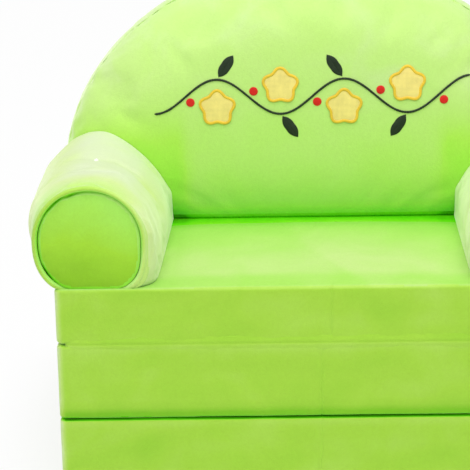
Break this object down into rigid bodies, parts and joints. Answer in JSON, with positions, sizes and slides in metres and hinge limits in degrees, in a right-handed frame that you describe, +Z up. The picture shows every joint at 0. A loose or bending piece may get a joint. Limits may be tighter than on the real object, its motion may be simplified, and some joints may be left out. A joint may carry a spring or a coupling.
{
  "type": "kids flip open sofa",
  "caption": "Child's plush foam sofa with rolled arms and a half-round backrest, on two foam layers that fold out forwards into a bed.",
  "frame": {"origin": "middle of the sofa's footprint, on the floor, under the bottom foam layer", "axes": "+X across the sofa from its left arm to its right arm as seen from the front, -Y towards the front, +Z up"},
  "size_m": [0.703, 0.4639, 0.5702],
  "materials": {
    "lime_plush": "matte",
    "white_foam": "matte",
    "soft_sponge": "matte",
    "fibre_wadding": "matte",
    "grip_cloth": "matte",
    "zip_tape": "matte",
    "nickel": "satin",
    "dark_thread": "satin",
    "yellow_felt": "matte",
    "gold_stitch": "satin",
    "red_stitch": "satin"
  },
  "bodies": {
    "sofa_body": {"seat_cover": "lime_plush", "seat_foam_slab": "white_foam", "seat_sponge": "soft_sponge", "seat_base_cloth": "grip_cloth", "front_hinge_upper_leaf": "lime_plush", "backrest_front_cover": "lime_plush", "backrest_gusset": "lime_plush", "backrest_rear_cover": "lime_plush", "backrest_front_wadding": "fibre_wadding", "backrest_foam_board": "white_foam", "backrest_rear_wadding": "fibre_wadding", "left_arm_cover": "lime_plush", "left_arm_front_panel": "lime_plush", "left_arm_wadding": "fibre_wadding", "left_arm_foam_roll": "white_foam", "right_arm_cover": "lime_plush", "right_arm_front_panel": "lime_plush", "right_arm_wadding": "fibre_wadding", "right_arm_foam_roll": "white_foam", "seat_zip_tape": "zip_tape", "backrest_zip_tape": "zip_tape", "vine_stitch": "dark_thread", "blossom_1_petals": "yellow_felt", "blossom_1_rim": "gold_stitch", "blossom_2_petals": "yellow_felt", "blossom_2_rim": "gold_stitch", "blossom_3_petals": "yellow_felt", "blossom_3_rim": "gold_stitch", "blossom_4_petals": "yellow_felt", "blossom_4_rim": "gold_stitch", "vine_leaf_1": "dark_thread", "vine_leaf_2": "dark_thread", "vine_leaf_3": "dark_thread", "vine_leaf_4": "dark_thread", "vine_berry_1": "red_stitch", "vine_berry_2": "red_stitch", "vine_berry_3": "red_stitch", "vine_berry_4": "red_stitch", "vine_berry_5": "red_stitch"},
    "middle_layer": {"middle_cover": "lime_plush", "middle_foam_slab": "white_foam", "middle_base_cloth": "grip_cloth", "front_hinge_lower_leaf": "lime_plush", "rear_hinge_upper_leaf": "lime_plush", "middle_zip_tape": "zip_tape"},
    "bottom_layer": {"bottom_cover": "lime_plush", "bottom_foam_slab": "white_foam", "bottom_base_cloth": "grip_cloth", "rear_hinge_lower_leaf": "lime_plush", "bottom_zip_tape": "zip_tape"},
    "seat_slider": {"seat_zip_slider": "nickel"},
    "seat_pull": {"seat_zip_pull": "nickel"},
    "backrest_slider": {"backrest_zip_slider": "nickel"},
    "backrest_pull": {"backrest_zip_pull": "nickel"},
    "middle_slider": {"middle_zip_slider": "nickel"},
    "middle_pull": {"middle_zip_pull": "nickel"},
    "bottom_slider": {"bottom_zip_slider": "nickel"},
    "bottom_pull": {"bottom_zip_pull": "nickel"}
  },
  "joints": [
    {"name": "middle_layer_hinge", "type": "hinge", "parent": "sofa_body", "child": "middle_layer", "pos_m": [0, -0.23071, 0.1799], "axis": [-1, 0, 0], "range_deg": [0, 180]},
    {"name": "bottom_layer_hinge", "type": "hinge", "parent": "middle_layer", "child": "bottom_layer", "pos_m": [0, 0.2305, 0.0893], "axis": [1, 0, 0], "range_deg": [0, 180]},
    {"name": "seat_slider_slide", "type": "slide", "parent": "sofa_body", "child": "seat_slider", "axis": [1, 0, 0], "range_m": [0, 0.366]},
    {"name": "seat_pull_hinge", "type": "hinge", "parent": "seat_slider", "child": "seat_pull", "pos_m": [-0.183, 0.2311, 0.21345], "axis": [1, 0, 0], "range_deg": [0, 150]},
    {"name": "backrest_slider_slide", "type": "slide", "parent": "sofa_body", "child": "backrest_slider", "axis": [1, 0, 0], "range_m": [0, 0.326]},
    {"name": "backrest_pull_hinge", "type": "hinge", "parent": "backrest_slider", "child": "backrest_pull", "pos_m": [-0.163, 0.22539, 0.2917], "axis": [1, 0, 0], "range_deg": [0, 150]},
    {"name": "middle_slider_slide", "type": "slide", "parent": "middle_layer", "child": "middle_slider", "axis": [0, -1, 0], "range_m": [0, 0.266]},
    {"name": "middle_pull_hinge", "type": "hinge", "parent": "middle_slider", "child": "middle_pull", "pos_m": [0.2996, 0.133, 0.1346], "axis": [0, -1, 0], "range_deg": [0, 150]},
    {"name": "bottom_slider_slide", "type": "slide", "parent": "bottom_layer", "child": "bottom_slider", "axis": [0, -1, 0], "range_m": [0, 0.266]},
    {"name": "bottom_pull_hinge", "type": "hinge", "parent": "bottom_slider", "child": "bottom_pull", "pos_m": [0.2996, 0.133, 0.0445], "axis": [0, -1, 0], "range_deg": [0, 150]}
  ]
}
